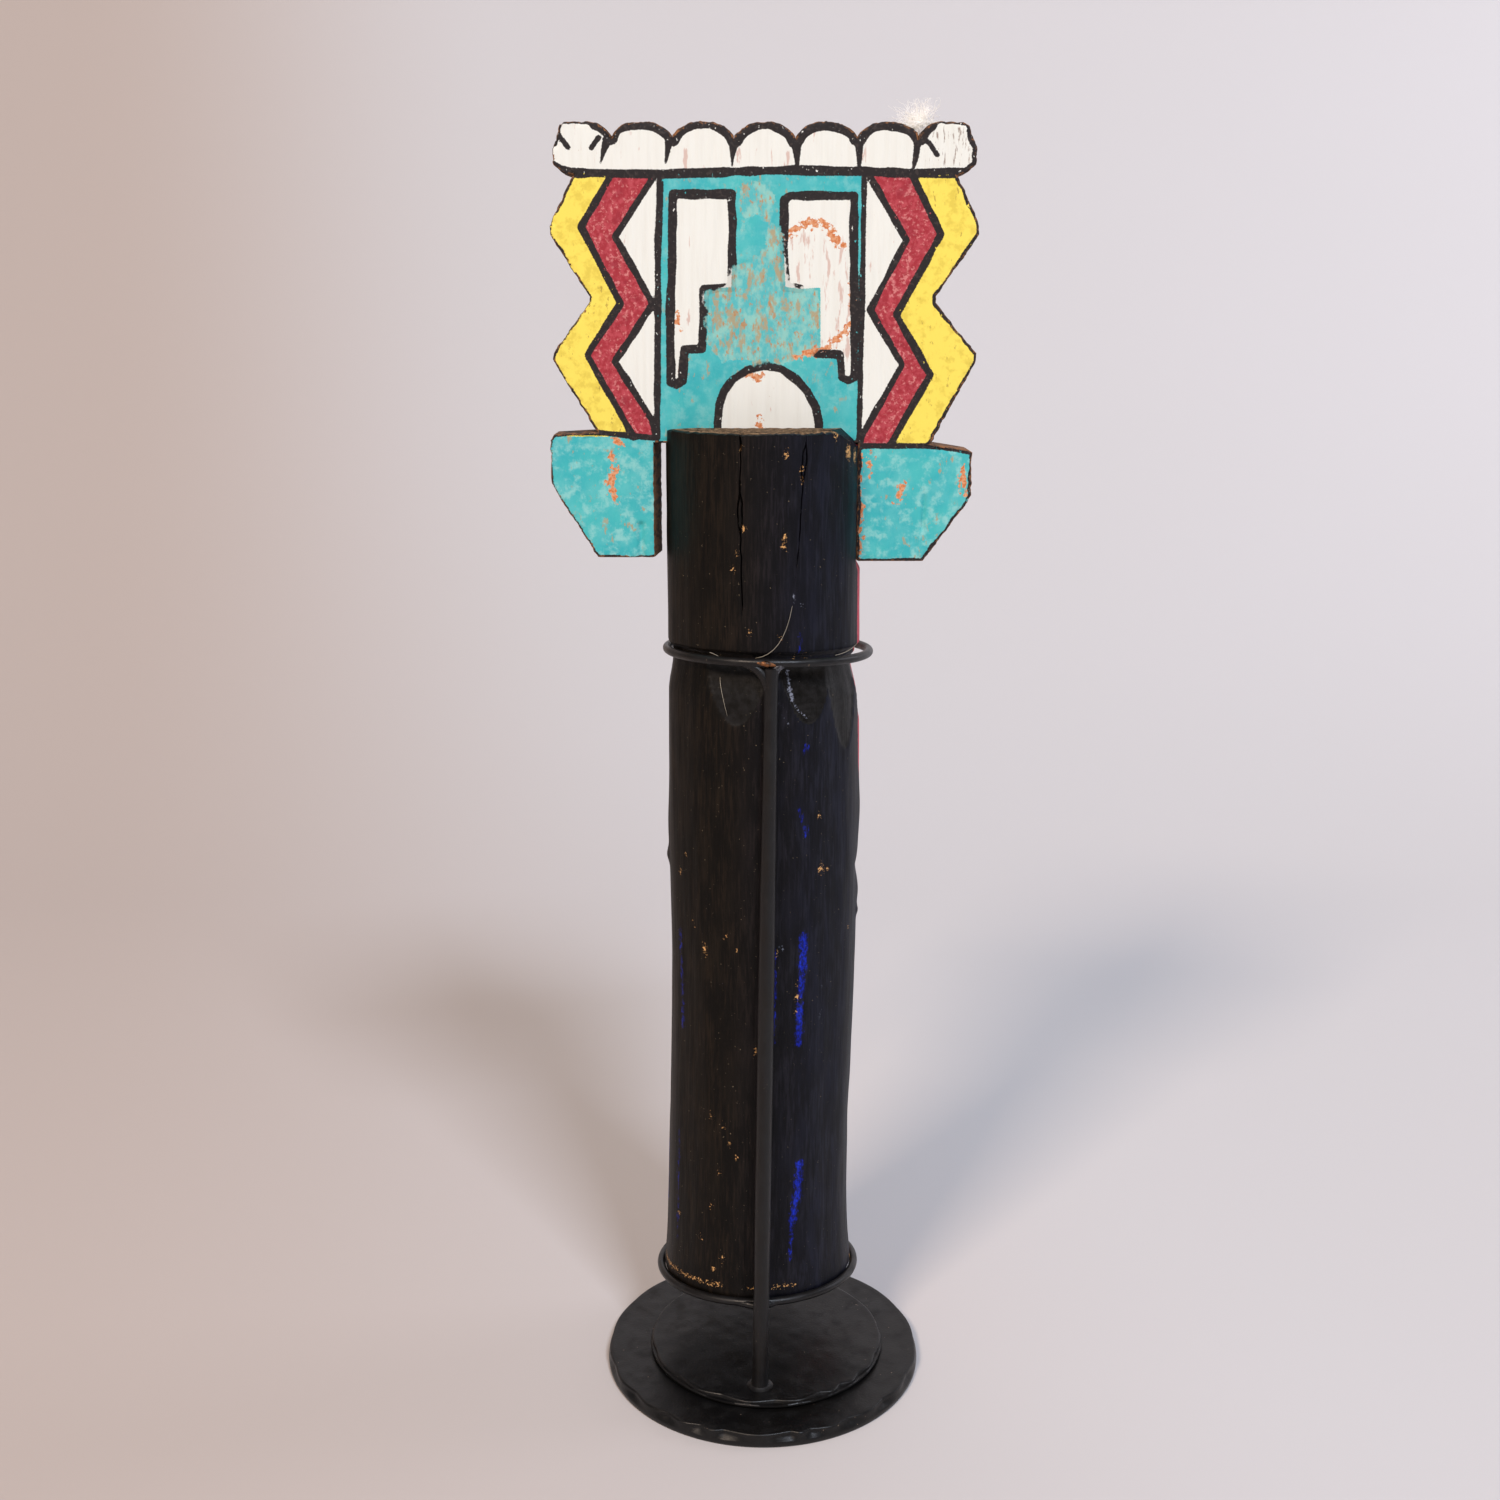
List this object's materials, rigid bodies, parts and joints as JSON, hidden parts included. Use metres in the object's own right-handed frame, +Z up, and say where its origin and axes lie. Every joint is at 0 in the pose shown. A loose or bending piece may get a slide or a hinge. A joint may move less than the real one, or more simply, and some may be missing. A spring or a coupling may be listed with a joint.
{
  "type": "prayer stick doll",
  "caption": "Round wooden prayer stick with a painted, scalloped and zigzag sawn board across its top, held upright in a forged iron stand",
  "frame": {"origin": "centre of the underside of the lower disc, on the surface that the stand rests on", "axes": "+Z up along the stick, the rod of the stand and the painted face of the board towards -Y, +X to the right of that view"},
  "size_m": [0.1234, 0.1016, 0.3931],
  "materials": {
    "disc_iron": "satin black, hammered",
    "wire_iron": "satin black, drawn wire",
    "stick_paint": "worn black paint on whittled wood",
    "board_paint": "matt pigment paint, worn through to the wood",
    "down": "white down"
  },
  "bodies": {
    "root": {"lower_disc": "disc_iron", "upper_disc": "disc_iron", "rod": "wire_iron", "foot_ring": "wire_iron", "top_hoop": "wire_iron", "stick": "stick_paint", "tablita": "board_paint", "down_tuft": "down"}
  },
  "joints": []
}
